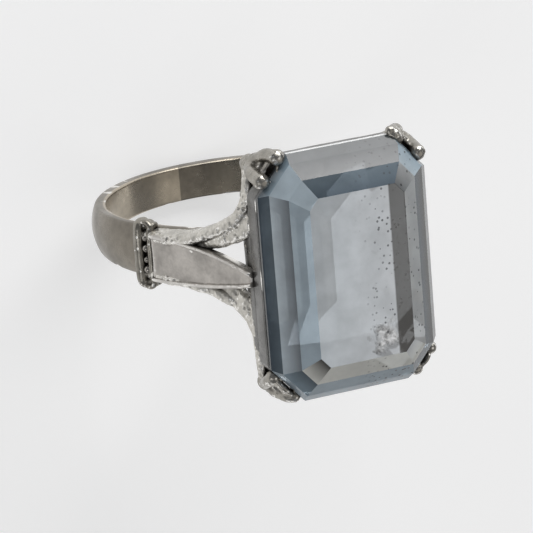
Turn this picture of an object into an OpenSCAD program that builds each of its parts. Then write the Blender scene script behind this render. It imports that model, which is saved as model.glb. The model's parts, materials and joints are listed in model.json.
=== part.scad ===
// Cocktail ring: step-cut stone in a four-claw basket on split shoulders.
// Frame: +Z up through the stone, +Y along the finger, origin at the centre of the finger hole.

/* [Finger hole and shank] */
// Inside diameter of the finger hole
finger_d = 18.2; // [17:0.1:20]
// Thickness of the shank at the middle of its width
shank_t = 1.05; // [0.9:0.05:1.3]
// Width of the shank at the back
shank_back_w = 2.3; // [2:0.1:2.8]
// Width of the shank where the shoulders start
shank_top_w = 3.5; // [3.2:0.1:3.8]

/* [Stone] */
// Width of the stone across the finger
gem_w = 11.44; // [11:0.02:12]
// Length of the stone along the finger
gem_l = 16.04; // [15:0.02:17]
// Height of the girdle above the finger hole
girdle_rise = 6.42; // [6.2:0.02:7]
// Length of the corner cut along the width
corner_x = 2.12; // [1.8:0.02:2.4]
// Length of the corner cut along the length
corner_y = 2.43; // [2.1:0.02:2.7]

/* [Basket] */
// Wall of the girdle rail
rail_wall = 0.6; // [0.5:0.05:0.8]
// Radius of a claw finger and its rounded tip
claw_r = 0.5; // [0.4:0.02:0.55]
// Distance between the two fingers of a claw
claw_spread = 2.0; // [1.8:0.05:2.2]

/* [Shoulders] */
// Angle of the collar above the horizontal
collar_angle = 28; // [26:1:30]
// Length of the collar along the finger
collar_len = 4.7; // [4.4:0.1:5]
// Width of the shoulder plate at the collar
plate_wide = 3.15; // [2.8:0.05:3.4]
// Width of the shoulder plate at the girdle rail
plate_narrow = 1.0; // [0.8:0.05:1.2]
// Thickness of the shoulder plate
plate_t = 0.5; // [0.4:0.05:0.6]

/* [Hidden] */
$fn = 48;

finger_r = finger_d / 2;
shank_r = finger_r + shank_t;
girdle_z = finger_r + girdle_rise;
shank_dome_r = 3.2;
shank_end_angle = 50;
far = 30;
ring_fn = 96;
arc_fn = 180;

// Girdle outline: half width, half length and distance of the corner planes
half_w = gem_w / 2;
half_l = gem_l / 2;
corner_turn = atan2(corner_x, corner_y);
corner_d = half_w * cos(corner_turn) + (half_l - corner_y) * sin(corner_turn);
corner_mid = [half_w - corner_x / 2, half_l - corner_y / 2];

// Levels of the basket above the finger axis
girdle_half = 0.15;
girdle_rail_z = [girdle_z - 1.4, girdle_z - girdle_half];
gallery_rail_z = [girdle_z - 2.65, girdle_z - 1.8];
base_rail_z = [finger_r + 1.0, finger_r + 1.9];

// Rails as [side inset, end inset, corner inset]; the ends step in under the stone
girdle_rail_inset = [-0.1, 0.2, 0];
gallery_rail_inset = [0.1, 0.9, 0.5];
base_rail_inset = [1.1, 1.9, 1.5];
gallery_wall = 0.7;
base_wall = 0.8;

// Stone steps as [side inset, end inset, corner inset, height over the girdle]
keel_half = 2.7;
keel_z = -5.1;
crown = [[0, 0, 0, girdle_half], [0.5, 0.5, 0.25, 0.8], [1.42, 1.42, 1.14, 1.65],
    [2.5, 2.55, 2.42, 2.3]];
pavilion = [[0, 0, 0, -girdle_half], [1.12, 1.12, 0.99, -1.9], [3.12, 3.02, 3.29, -3.9],
    [half_w, half_l - keel_half, corner_d - keel_half * sin(corner_turn), keel_z]];

// Shoulder plate: its outer face runs from the collar to the girdle rail on one shallow arc
plate_foot_angle = collar_angle + 5;
plate_foot = (shank_r + 0.62) * [cos(plate_foot_angle), sin(plate_foot_angle)];
plate_root = 1.5;
plate_tip = [half_w + 0.28, girdle_z - 1.3];
plate_len = norm(plate_tip - plate_foot);
plate_lean = atan2(plate_tip[0] - plate_foot[0], plate_tip[1] - plate_foot[1]);
plate_dip = 0.2;
plate_arc_r = plate_len * plate_len / (8 * plate_dip);
plate_rib_w = 0.3;
plate_rib_h = 0.16;
plate_side_r = plate_len * plate_len / (plate_wide - plate_narrow);

// Shoulder arms: seen along X each leaves the shank upright and flares out on an arc
arm_t = 0.95;
arm_side = shank_top_w / 2;
arm_flare_r = 12.2;
arm_flare_z = finger_r - 3.6;
arm_top_z = girdle_z - 1.75;
arm_heel = finger_r * [cos(shank_end_angle), sin(shank_end_angle)];
arm_head = [half_w - 0.85, arm_top_z];
arm_end = [half_w - 0.1, arm_side + 2.6, arm_top_z - 0.45];
arm_bar_r = 0.43;

// Claw in the frame of its corner: x outwards, y along the corner, z up.
// The front tips stand over the girdle as balls; the rear tips are lower and worn.
claw_fork = [0.5, 0, girdle_z - 2.4];
claw_foot = [0.45 - base_rail_inset[2], 0, (base_rail_z[0] + base_rail_z[1]) / 2];
front_tip = [0.45, girdle_z + 0.35, claw_r];
rear_tip = [0.36, girdle_z + 0.05, claw_r * 0.9];
fork_ball_r = claw_r * 1.15;
finger_bar_r = claw_r * 0.85;
stem_r = claw_r * 0.9;
claw_web_t = 0.5;
claw_notch = 0.9;
claw_lip = 0.55;
claw_lip_t = 0.55;
claw_heel = [corner_mid[0] + claw_fork[0] * cos(corner_turn),
    corner_mid[1] + claw_fork[0] * sin(corner_turn), claw_fork[2]];

// Collar: ridges as [turn from the collar angle, height of the axis, radius, length]
collar_ridges = [[-2.8, 0.2, 0.4, collar_len], [2.6, 0.24, 0.3, collar_len - 0.5]];
collar_floor = [shank_t + 0.05, collar_len - 0.9, 0.7];
collar_bead_r = 0.27;
collar_bead_pitch = 0.8;
gallery_bead_r = 0.28;

// Octagon of the stone's outline moved inwards by side, end and corner insets
function octagon(i) =
    let (w = half_w - i[0], l = half_l - i[1], d = corner_d - i[2],
        y = (d - w * cos(corner_turn)) / sin(corner_turn),
        x = (d - l * sin(corner_turn)) / cos(corner_turn))
    [[w, -y], [w, y], [x, l], [-x, l], [-w, y], [-w, -y], [-x, -l], [x, -l]];

// Outline of a step profile whose half widths are half less the insets in column c
function profile(half, c) = concat(
    [for (s = crown) [half - s[c], s[3]]],
    [for (i = [3:-1:0]) [crown[i][c] - half, crown[i][3]]],
    [for (s = pavilion) [s[c] - half, s[3]]],
    [for (i = [3:-1:0]) [half - pavilion[i][c], pavilion[i][3]]]);

// Straight round bar between two points
module bar(a, b, r) {
    d = b - a;
    translate(a) rotate([0, acos(d[2] / norm(d)), atan2(d[1], d[0])]) cylinder(h = norm(d), r = r);
}

// The same bar with round ends
module rod(a, b, r) {
    bar(a, b, r);
    translate(a) sphere(r);
    translate(b) sphere(r);
}

// Prism of a step profile, turned about Z
module step_prism(half, c, turn)
    translate([0, 0, girdle_z]) rotate([0, 0, turn]) rotate([90, 0, 0])
        linear_extrude(far, center = true) polygon(profile(half, c));

module stone_body() intersection() {
    step_prism(half_w, 0, 0);
    step_prism(half_l, 1, 90);
    step_prism(corner_d, 2, corner_turn);
    step_prism(corner_d, 2, -corner_turn);
}

module rail(inset, wall, z) difference() {
    translate([0, 0, z[0]]) linear_extrude(z[1] - z[0]) polygon(octagon(inset));
    translate([0, 0, z[0] - 1]) linear_extrude(z[1] - z[0] + 2)
        polygon(octagon(inset + wall * [1, 1, 1]));
}

module girdle_hoop() rail(girdle_rail_inset, rail_wall, girdle_rail_z);

module gallery_hoop() rail(gallery_rail_inset, gallery_wall, gallery_rail_z);

// Turns a child that is built on +X up to an angle above the horizontal
module at_angle(angle) rotate([0, -angle, 0]) children();

// D-shaped band all round the finger, narrowing towards the back
module band() intersection() {
    rotate([90, 0, 0]) rotate_extrude($fn = ring_fn) intersection() {
        translate([finger_r, -far / 2]) square([far, far]);
        translate([shank_r - shank_dome_r, 0]) circle(shank_dome_r);
    }
    rotate([90, 0, 90]) linear_extrude(far, center = true) polygon([
        [-shank_back_w / 2, -shank_r - 1], [shank_back_w / 2, -shank_r - 1],
        [shank_top_w / 2, finger_r / 2], [shank_top_w / 2, shank_r],
        [-shank_top_w / 2, shank_r], [-shank_top_w / 2, finger_r / 2]]);
}

module finger_space() rotate([90, 0, 0])
    cylinder(h = far, r = finger_r, center = true, $fn = ring_fn);

module shank() color("#8f8b82") difference() {
    band();
    rotate([90, 0, 0]) linear_extrude(far, center = true)
        polygon([[0, 0], far * [cos(shank_end_angle), sin(shank_end_angle)], [0, 2 * far],
            far * [-cos(shank_end_angle), sin(shank_end_angle)]]);
}

// Round bar over the band whose ends turn down beside it
module collar_ridge(ridge) at_angle(collar_angle + ridge[0]) {
    r = ridge[2];
    top = shank_r + ridge[1];
    end = ridge[3] / 2 - r;
    rod([top, -end, 0], [top, end, 0], r);
    for (y = [-end, end]) rod([top, y, 0], [finger_r + r + 0.15, y, 0], r);
}

module collar() color("#a39c93") difference() {
    union() {
        for (ridge = collar_ridges) collar_ridge(ridge);
        at_angle(collar_angle)
            translate([finger_r + 0.2, -collar_floor[1] / 2, -0.4]) cube(collar_floor);
    }
    band();
    finger_space();
}

module collar_beads() color("#cfcac2") difference() {
    at_angle(collar_angle) for (i = [-1.5:1:1.5])
        translate([shank_r + 0.3, i * collar_bead_pitch, 0]) sphere(collar_bead_r);
    collar();
    band();
}

// Side view of the shoulder between the shallow arc and a line moved inwards by depth
module plate_slab(proud, depth) {
    mid = (plate_foot + plate_tip) / 2;
    translate([mid[0], 0, mid[1]]) rotate([0, plate_lean, 0]) rotate([90, 0, 0])
        linear_extrude(far, center = true) difference() {
            translate([-depth - 1, -plate_len / 2]) square([depth + 2, plate_len]);
            translate([plate_arc_r - plate_dip + proud, 0]) circle(plate_arc_r, $fn = arc_fn);
            translate([-far - depth, -far]) square([far, 2 * far]);
        }
}

// Outline of the plate seen square on: two shallow arcs that narrow towards the tip
module plate_outline(inset) {
    mid = (plate_foot + plate_tip) / 2;
    translate([mid[0], 0, mid[1]]) rotate([0, plate_lean, 0]) rotate([90, 0, 90])
        linear_extrude(far, center = true) intersection_for (side = [-1, 1])
            translate([side * (plate_side_r - plate_wide / 2), -plate_len / 2])
                circle(plate_side_r - inset, $fn = arc_fn);
}

module plate_body() {
    intersection() {
        plate_slab(0, plate_t);
        plate_outline(0);
    }
    intersection() {
        plate_slab(-plate_t / 2, plate_root);
        plate_outline(0);
        at_angle(collar_angle) translate([0, -far / 2, 0]) cube([far, far, 2.2 * plate_root]);
    }
    intersection() {
        plate_slab(plate_rib_h, plate_t);
        difference() {
            plate_outline(0);
            plate_outline(plate_rib_w);
        }
    }
}

module shoulder_plate() color("#a8a198") difference() {
    plate_body();
    band();
    girdle_hoop();
    gallery_hoop();
    collar();
}

// Side view of a shoulder arm: under the plate, down to the finger circle and the basket
module arm_side_view() intersection() {
    plate_slab(-plate_t, 3);
    rotate([90, 0, 0]) linear_extrude(far, center = true) polygon([
        arm_heel + 2 * (arm_heel - arm_head), arm_head + (arm_head - arm_heel) / 4,
        [far, arm_head[1]], [far, -far]]);
}

// Front view of a shoulder arm on the +Y side
module arm_front_view() rotate([90, 0, 90]) linear_extrude(far, center = true) {
    translate([arm_side - arm_t, 0]) square([arm_t, arm_flare_z]);
    intersection() {
        translate([0, arm_flare_z]) square([arm_side + arm_flare_r, arm_top_z - arm_flare_z]);
        translate([arm_side + arm_flare_r, arm_flare_z]) difference() {
            circle(arm_flare_r + arm_t, $fn = arc_fn);
            circle(arm_flare_r, $fn = arc_fn);
        }
    }
}

module shoulder_arm() color("#9d978c") difference() {
    union() {
        intersection() {
            arm_side_view();
            arm_front_view();
        }
        bar(arm_end, claw_heel, arm_bar_r);
    }
    shank();
    finger_space();
    collar();
    plate_body();
    girdle_hoop();
    gallery_hoop();
    claw_body(front_tip);
}

// Places a child at the middle of the +X +Y corner, with local x pointing outwards
module at_corner()
    translate([corner_mid[0], corner_mid[1], 0]) rotate([0, 0, corner_turn]) children();

// Forked claw: two fingers on one stem, a web between them and a lip over the stone's corner.
// The tip is given as [outward, height, radius of its ball].
module claw_body(tip) at_corner() {
    reach = claw_spread / 2;
    translate(claw_fork) sphere(fork_ball_r);
    for (side = [-1, 1]) {
        end = [tip[0], side * reach, tip[1]];
        bar(claw_fork, end, finger_bar_r * tip[2] / claw_r);
        translate(end) sphere(tip[2]);
    }
    bar(claw_foot, claw_fork, stem_r);
    translate([tip[0] - 0.2, 0, 0]) rotate([90, 0, 90]) linear_extrude(claw_web_t)
        polygon([[0, claw_fork[2]], [reach, tip[1]], [0, tip[1] - claw_notch], [-reach, tip[1]]]);
    translate([0, 0, girdle_z - 0.1]) linear_extrude(claw_lip_t)
        polygon([[tip[0], reach], [-claw_lip, 0], [tip[0], -reach], [0.1, 0]]);
}

module claw(tip) color("#b3ada3") difference() {
    claw_body(tip);
    stone_body();
    girdle_hoop();
    gallery_hoop();
}

module girdle_rail() color("#9a968f") difference() {
    girdle_hoop();
    stone_body();
}

module gallery_rail() color("#938e86") difference() {
    gallery_hoop();
    stone_body();
}

module base_rail() color("#8c877e") difference() {
    rail(base_rail_inset, base_wall, base_rail_z);
    four_corners() claw_body(front_tip);
}

module gallery_beads() color("#b3ada3")
    for (side = [-1, 1], y = [-1.8, 1.8])
        translate([side * (half_w - gallery_rail_inset[0] - 0.3), y, gallery_rail_z[0] - 0.18])
            sphere(gallery_bead_r);

module four_corners() for (x = [0, 1], y = [0, 1]) mirror([x, 0, 0]) mirror([0, y, 0]) children();

module gemstone() color("#9fb0bc") stone_body();

shank();
collar();  // collar_right
mirror([1, 0, 0]) collar();  // collar_left
collar_beads();  // collar_beads_right
mirror([1, 0, 0]) collar_beads();  // collar_beads_left
shoulder_plate();  // shoulder_plate_right
mirror([1, 0, 0]) shoulder_plate();  // shoulder_plate_left
shoulder_arm();  // shoulder_arm_rear_right
mirror([1, 0, 0]) shoulder_arm();  // shoulder_arm_rear_left
mirror([0, 1, 0]) shoulder_arm();  // shoulder_arm_front_right
rotate([0, 0, 180]) shoulder_arm();  // shoulder_arm_front_left
base_rail();
gallery_rail();
girdle_rail();
gallery_beads();
claw(rear_tip);  // claw_rear_right
mirror([1, 0, 0]) claw(rear_tip);  // claw_rear_left
mirror([0, 1, 0]) claw(front_tip);  // claw_front_right
rotate([0, 0, 180]) claw(front_tip);  // claw_front_left
gemstone();
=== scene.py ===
"""Step-cut cocktail ring: detailed surfaces and a plain studio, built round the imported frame."""

import json
import math

import bmesh
import bpy
import numpy as np
from mathutils import Matrix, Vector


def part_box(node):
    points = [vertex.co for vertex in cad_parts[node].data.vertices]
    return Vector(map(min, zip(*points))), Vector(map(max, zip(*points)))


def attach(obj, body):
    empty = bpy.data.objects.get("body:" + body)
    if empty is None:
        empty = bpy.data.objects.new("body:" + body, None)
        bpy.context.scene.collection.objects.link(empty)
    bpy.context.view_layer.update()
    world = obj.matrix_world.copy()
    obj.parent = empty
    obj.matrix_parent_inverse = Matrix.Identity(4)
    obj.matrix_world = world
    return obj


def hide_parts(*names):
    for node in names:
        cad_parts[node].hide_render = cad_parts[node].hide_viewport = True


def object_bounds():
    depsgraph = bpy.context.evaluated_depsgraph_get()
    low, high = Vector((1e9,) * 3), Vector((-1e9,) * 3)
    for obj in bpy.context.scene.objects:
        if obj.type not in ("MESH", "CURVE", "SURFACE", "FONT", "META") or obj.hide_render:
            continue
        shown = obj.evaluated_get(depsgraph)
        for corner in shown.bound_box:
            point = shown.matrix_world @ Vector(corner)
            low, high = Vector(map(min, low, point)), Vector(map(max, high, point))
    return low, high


bl_info = {
    "name": "Cocktail ring",
    "version": (1, 0, 0),
    "blender": (4, 5, 0),
    "location": "View3D > Sidebar > Ring",
    "description": "Builds a step-cut ring on split shoulders, and the studio round it",
    "category": "Add Mesh",
}

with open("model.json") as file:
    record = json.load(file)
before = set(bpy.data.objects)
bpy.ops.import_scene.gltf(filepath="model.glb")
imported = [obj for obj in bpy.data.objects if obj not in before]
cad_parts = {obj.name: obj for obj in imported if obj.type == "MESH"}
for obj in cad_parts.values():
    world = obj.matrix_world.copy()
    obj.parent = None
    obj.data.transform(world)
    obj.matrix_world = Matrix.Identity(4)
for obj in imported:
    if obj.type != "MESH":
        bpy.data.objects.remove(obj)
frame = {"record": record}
cad_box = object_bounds()

MM = 0.001


def cad(node):
    """Lowest and highest corner of a CAD node in millimetres."""
    low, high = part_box(node)
    return np.array(low) / MM, np.array(high) / MM


STONE_HIGH = cad("gemstone")[1]
RAIL_LOW, RAIL_HIGH = cad("girdle_rail")
GALLERY_LOW, GALLERY_HIGH = cad("gallery_rail")
BASE_LOW, BASE_HIGH = cad("base_rail")
GIRDLE_HALF = 0.15
GIRDLE_Z = float(RAIL_HIGH[2]) + GIRDLE_HALF
FINGER_R = frame["record"]["mounts"][0]["dims"]["r_mm"]

# Corner cut of the stone, and the steps as side inset, end inset, corner inset, height
CORNER = (2.12, 2.43)
CROWN = [(0, 0, 0, 0.15), (0.5, 0.5, 0.25, 0.8), (1.42, 1.42, 1.14, 1.65), (2.5, 2.55, 2.42, 2.3)]
KEEL_HALF, KEEL_Z = 2.7, -5.1
PAVILION = [(0, 0, 0, -0.15), (1.12, 1.12, 0.99, -1.9), (3.12, 3.02, 3.29, -3.9)]

HALF_W = float(STONE_HIGH[0])
HALF_L = float(STONE_HIGH[1])
TURN = math.atan2(*CORNER)
CORNER_D = HALF_W * math.cos(TURN) + (HALF_L - CORNER[1]) * math.sin(TURN)
CORNER_MID = (HALF_W - CORNER[0] / 2, HALF_L - CORNER[1] / 2)
TABLE_HALF = HALF_W - CROWN[-1][0]
TABLE_Z = GIRDLE_Z + CROWN[-1][3]

# Tones of the stone as red, green, blue and how milky. They are painted reflections on the facets, standing
# in for what the crown reflects and shows from inside, plus a painted white highlight: dark slate, slate,
# mist, bright blue, umber, grey, neutral, ivory, pale grey, pale and less pale end of the table, white.
PAINTED_LIGHT_TONES = {"d": (0.085, 0.115, 0.145, 0.65), "s": (0.16, 0.205, 0.24, 0.62), "m": (0.39, 0.5, 0.58, 0.64),
         "b": (0.56, 0.66, 0.73, 0.66), "u": (0.085, 0.08, 0.073, 0.8), "g": (0.105, 0.115, 0.12, 0.7),
         "n": (0.24, 0.25, 0.255, 0.6), "i": (0.93, 0.93, 0.87, 0.78), "v": (0.62, 0.63, 0.63, 0.6),
         "p": (0.79, 0.8, 0.815, 0.58), "l": (0.7, 0.75, 0.785, 0.74), "w": (0.92, 0.93, 0.93, 0.9)}
# Lower and upper tone of the eight sides of each crown step, from the girdle up: painted reflections
FACET_REFLECTIONS = ["ds", "bb", "bm", "sb", "nn", "sm", "gg", "sm",
          "bd", "ms", "mm", "sd", "ud", "mb", "gn", "bb",
          "mm", "iu", "ii", "iv", "vv", "vn", "sd", "bb"]
SIDES, FRONT_SIDE = 8, 6
# Width of a painted brown reflection along the table's -X edge
BROWN_REFLECTION = 1.12
FEATHER = (-1.3, 4.2, TABLE_Z)

# Shoulders: the collar's angle round the finger, and how far past it the plate starts
COLLAR_ANGLE = math.radians(28)
PLATE_LEAD = 0.068
COLLAR_BAR_R, CHANNEL_R = 10.33, 9.84
COLLAR_BEADS = ((-1.15, 0.9), (-0.45, 1.0), (0.3, 0.85), (0.95, 1.0))
# Route of a shoulder arm and of the web beside the plate, and how far an arm can be tucked in
ARM_ROUTE = [(8.75, 1.30, 4.5), (8.1, 1.31, 6.2), (7.3, 1.62, 8.2), (6.6, 2.3, 10.2), (5.95, 3.25, 12.1),
             (5.5, 4.45, 13.2), (5.27, 5.8, 13.4), (5.08, 6.95, 13.15)]
ARM_DEEP = [0.55, 0.85, 0.92, 0.8, 0.6, 0.47, 0.43, 0.45]
ARM_THIN = [0.36, 0.42, 0.46, 0.47, 0.47, 0.45, 0.42, 0.44]
ARM_TUCK = np.array([-0.55, -0.75, -0.7])
ARM_TUCK_SHARE = [0, 0, 0.35, 0.8, 1, 0.7, 0.1, 0]
WEB_ROUTE = [(7.35, 1.2, 8.3), (6.65, 1.75, 10.2), (6.0, 2.45, 12.0), (5.55, 3.2, 13.1), (5.3, 4.0, 13.35)]
WEB_DEEP = [0.3, 0.42, 0.42, 0.4, 0.36]
WEB_THIN = [0.3, 0.5, 0.62, 0.7, 0.5]
WEB_TUCK_SHARE = [0.4, 0.8, 0.8, 0.5, 0.1]
OUTWARD = (0.94, 0, 0.34)

# Rails of the basket: side, end and corner inset, wall, lowest and highest z, edge radius
RAILS = {
    "girdle_rail": ((-0.08, 0.24, 0.02), 0.5, RAIL_LOW[2], RAIL_HIGH[2] - 0.02, 0.1),
    "gallery_rail": ((0.12, 0.92, 0.52), 0.66, GALLERY_LOW[2], GALLERY_HIGH[2], 0.16),
    "base_rail": ((1.12, 1.92, 1.52), 0.76, BASE_LOW[2], BASE_HIGH[2], 0.16),
}
# Claws: which corner, then for each tip its place, radius as a share of the claw's, and stretch
ROUND_TIP, WORN_TIP, WIDE_TIP = (1, 1, 0.95), (0.8, 1.15, 0.8), (0.85, 1.6, 0.75)
CLAWS = {
    "rear_right": (1, 1, [((0.2, -1.0, -0.3), 0.7, WORN_TIP), ((0.2, 1.0, -0.3), 0.7, WORN_TIP)]),
    "rear_left": (-1, 1, [((0.28, -0.8, -0.12), 0.72, WORN_TIP), ((0.28, 0.8, -0.12), 0.72, WORN_TIP)]),
    "front_right": (1, -1, [((0.52, -0.66, 0.33), 1.02, ROUND_TIP), ((0.52, 1.12, 0.35), 1.0, ROUND_TIP)]),
    "front_left": (-1, -1, [((0.3, -0.6, 0.3), 1.0, ROUND_TIP), ((0.08, 1.42, 0.16), 0.95, WIDE_TIP)]),
}

# Metals: how the silver of each kind of piece is finished, how far oxide and painted shade reach into its
# recesses, and where its ridges turn bright with wear and a painted highlight
METALS = {
    "band": dict(name="worn_band", rough=0.27, mottle=420, grain=0.25, occlusion=0.001,
                 brush=(300, 2500, 300), inner_patch=True),
    "plate": dict(name="satin_plate", rough=0.36, mottle=700, grain=0.5, occlusion=0.0007,
                  brush=(500, 4000, 500), ridge=(0.51, 0.55)),
    "collar": dict(name="collar_silver", rough=0.28, mottle=1100, grain=0.5, occlusion=0.0016, reach=1.15,
                   ridge=(0.55, 0.63)),
    "cast": dict(name="cast_silver", rough=0.3, mottle=1400, grain=0.7, crust=0.5, occlusion=0.0018,
                 reach=0.85, ridge=(0.505, 0.55)),
    "rail": dict(name="basket_silver", rough=0.24, mottle=800, grain=0.35, occlusion=0.0009, reach=0.8),
    "claw": dict(name="claw_silver", rough=0.26, mottle=1200, grain=0.5, occlusion=0.0012, reach=0.95,
                 ridge=(0.54, 0.61)),
    "bead": dict(name="bright_bead", rough=0.18, mottle=1500, grain=0.3, occlusion=0.0004),
}
# Ridge colour, bright both from wear and as a painted highlight; roughness of recesses and of ridges
POLISHED_AND_HIGHLIGHT, DULL_ROUGH, RUBBED_ROUGH = (0.93, 0.91, 0.87, 1), 0.75, 0.24
FINE_BUMP, CRUST_BUMP = 0.00002, 0.00008
# Band's inner face: x where a darker patch starts, the painted light that makes the inner face paler, and the
# patch's tint
PATCH_EDGE_X, INNER_PAINTED_LIGHT, PATCH_TINT = 0.9, (2.1, 2.05, 1.95, 1), (0.45, 0.46, 0.48, 1)
PALETTE = {}

# Studio: lights as name, place in metres, size, power, colour; and the camera's axes and place
SOFTBOXES = [("key", (-0.10, -0.30, 0.13), 0.26, 1.0, (1, 1, 1)),
             ("overhead", (-0.19, 0.145, 0.44), 0.5, 0.3, (1.0, 0.95, 0.87)),
             ("fill", (0.35, 0.15, 0.30), 0.25, 0.25, (1, 1, 1))]
LIT_POINT = (0, 0, 0.005)
ROOM = (0.2, 0.205, 0.215, 1)
FLOOR_HALF, FLOOR_GLOW = 3.0, 0.505
CAMERA_AXES = [(-0.9085, 0.0774, 0.4106), (-0.187, -0.9541, -0.2339), (0.3737, -0.2893, 0.8813)]
CAMERA_PLACE = (0.09773, -0.07257, 0.23322)
CAMERA_LENS, CAMERA_SENSOR = 270.17, 36


def length(name, description, default):
    """Length property in metres."""
    return bpy.props.FloatProperty(name=name, description=description, default=default, unit="LENGTH")


def colour(name, description, default):
    """Colour property."""
    return bpy.props.FloatVectorProperty(name=name, description=description, default=default,
                                         subtype="COLOR")


class RingSizes(bpy.types.PropertyGroup):
    shank_t: length("Shank thickness", "Thickness at the middle of the band", 0.00105)
    back_w: length("Back width", "Width of the band at the back", 0.0023)
    top_w: length("Top width", "Width of the band at the shoulders", 0.0035)
    plate_wide: length("Plate width", "Width of a shoulder plate at its collar", 0.00315)
    plate_narrow: length("Plate tip", "Width of a shoulder plate at the stone", 0.001)
    plate_t: length("Plate thickness", "Thickness of a shoulder plate", 0.0005)
    claw_r: length("Claw radius", "Radius of a claw's rounded tip", 0.0005)
    bead_r: length("Bead radius", "Radius of a collar bead", 0.00027)


class RingColours(bpy.types.PropertyGroup):
    band: colour("Band", "Worn band metal", (0.275, 0.25, 0.212))
    plate: colour("Plate", "Satin shoulder metal", (0.52, 0.49, 0.455))
    rail: colour("Rails", "Duller metal of the basket", (0.21, 0.207, 0.2))
    # Set far paler than the other silver: painted light on the arms' lit faces
    cast: colour("Cast", "Rough cast metal", (0.66, 0.635, 0.58))
    collar: colour("Collars", "Collar metal", (0.34, 0.32, 0.28))
    claw: colour("Claws", "Claw metal", (0.42, 0.40, 0.36))
    bead: colour("Beads", "Metal of the collar beads", (0.38, 0.355, 0.32))
    # Oxide in the recesses, and painted shade in recesses and on undersides
    oxide_and_shade: colour("Grime", "Oxide in the recesses", (0.035, 0.028, 0.022))
    stone: colour("Stone", "Body colour of the stone", (0.50, 0.555, 0.61))


# ---------------------------------------------------------------- surfaces


def unit(v):
    """Vectors divided by their lengths."""
    return v / np.maximum(np.linalg.norm(v, axis=-1, keepdims=True), 1e-12)


def loft(rings):
    """Skin over closed rings, an (n, m, 3) array: quads join each ring to the next, and a fan
    round the mean point of each end ring closes it."""
    n, m = rings.shape[:2]
    i, j = np.meshgrid(np.arange(n - 1), np.arange(m), indexing="ij")
    a, b = i * m + j, i * m + (j + 1) % m
    quads = np.stack([a, b, b + m, a + m], -1).reshape(-1, 4)
    k = np.arange(m)
    start = np.stack([np.full(m, n * m), (k + 1) % m, k], -1)
    end = np.stack([np.full(m, n * m + 1), (n - 1) * m + k, (n - 1) * m + (k + 1) % m], -1)
    verts = np.concatenate([rings.reshape(-1, 3), rings[[0, -1]].mean(1)])
    return verts, quads.tolist() + start.tolist() + end.tolist()


def hoop(rings):
    """Skin over closed rings that also close on themselves: ring i joins ring i + 1, and the last
    joins the first."""
    n, m = rings.shape[:2]
    i, j = np.meshgrid(np.arange(n), np.arange(m), indexing="ij")
    i2, j2 = (i + 1) % n, (j + 1) % m
    quads = np.stack([i * m + j, i * m + j2, i2 * m + j2, i2 * m + j], -1).reshape(-1, 4)
    return rings.reshape(-1, 3), quads.tolist()


def spline(points, n):
    """Catmull-Rom curve through control rows: on each span the cubic whose end slopes are half
    the step between the neighbours, read at n even parameters."""
    p = np.asarray(points, float)
    p = np.vstack([2 * p[0] - p[1], p, 2 * p[-1] - p[-2]])
    t = np.linspace(0, len(p) - 3, n)
    k = np.minimum(t.astype(int), len(p) - 4)
    u = (t - k)[:, None]
    a, b, c, d = p[k], p[k + 1], p[k + 2], p[k + 3]
    return 0.5 * (2 * b + (c - a) * u + (2 * a - 5 * b + 4 * c - d) * u**2 + (3 * b - a - 3 * c + d) * u**3)


def carry(path, across, up, wide, high, power=2.0, m=32):
    """Superellipse of half axes wide and high carried along a path: point = path + wide * C *
    across + high * S * up, where C and S are the signed 2 / power powers of cosine and sine."""
    a = np.linspace(0, 2 * np.pi, m, endpoint=False)
    c = np.sign(np.cos(a)) * np.abs(np.cos(a)) ** (2 / power)
    s = np.sign(np.sin(a)) * np.abs(np.sin(a)) ** (2 / power)
    wide, high = np.broadcast_to(wide, len(path)), np.broadcast_to(high, len(path))
    return (path[:, None] + (wide[:, None] * c)[..., None] * across[:, None]
            + (high[:, None] * s)[..., None] * up[:, None])


def axes(path, hint):
    """Two unit vectors square to the path at each point: across is the hint less its part along
    the path, and up is tangent x across."""
    tangent = unit(np.gradient(path, axis=0))
    hint = np.broadcast_to(np.asarray(hint, float), path.shape)
    across = unit(hint - (hint * tangent).sum(-1, keepdims=True) * tangent)
    return across, np.cross(tangent, across)


def rounded(path, wide, high, k=7):
    """Path, half widths and half heights lengthened at both ends by k rings of a half ellipsoid:
    the ring at angle f stands out by the size times sine f and keeps cosine f of its size."""
    f = np.linspace(0, np.pi / 2 * 0.97, k)[1:]
    t0, t1 = unit(path[0] - path[1]), unit(path[-1] - path[-2])
    w = np.broadcast_to(wide, len(path)).astype(float)
    h = np.broadcast_to(high, len(path)).astype(float)
    r0, r1 = min(w[0], h[0]), min(w[-1], h[-1])
    head = path[0] + t0 * (r0 * np.sin(f))[::-1, None]
    tail = path[-1] + t1 * (r1 * np.sin(f))[:, None]
    cf = np.cos(f)
    return (np.vstack([head, path, tail]), np.concatenate([w[0] * cf[::-1], w, w[-1] * cf]),
            np.concatenate([h[0] * cf[::-1], h, h[-1] * cf]))


def bar(points, wide, high=None, hint=(0, 0, 1), n=40, power=2.0, m=28):
    """Bar with rounded ends along the curve through the points; its half sizes follow curves
    through their own values in the same way."""
    path = spline(points, n)
    high = wide if high is None else high
    size = [spline(np.atleast_1d(v).reshape(-1, 1), n)[:, 0] if np.ndim(v) else np.full(n, float(v))
            for v in (wide, high)]
    across, up = axes(path, hint)
    long_path, w, h = rounded(path, *size)
    pad = (len(long_path) - n) // 2
    across = np.concatenate([np.repeat(across[:1], pad, 0), across, np.repeat(across[-1:], pad, 0)])
    up = np.concatenate([np.repeat(up[:1], pad, 0), up, np.repeat(up[-1:], pad, 0)])
    return loft(carry(long_path, across, up, w, h, power, m))


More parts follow.
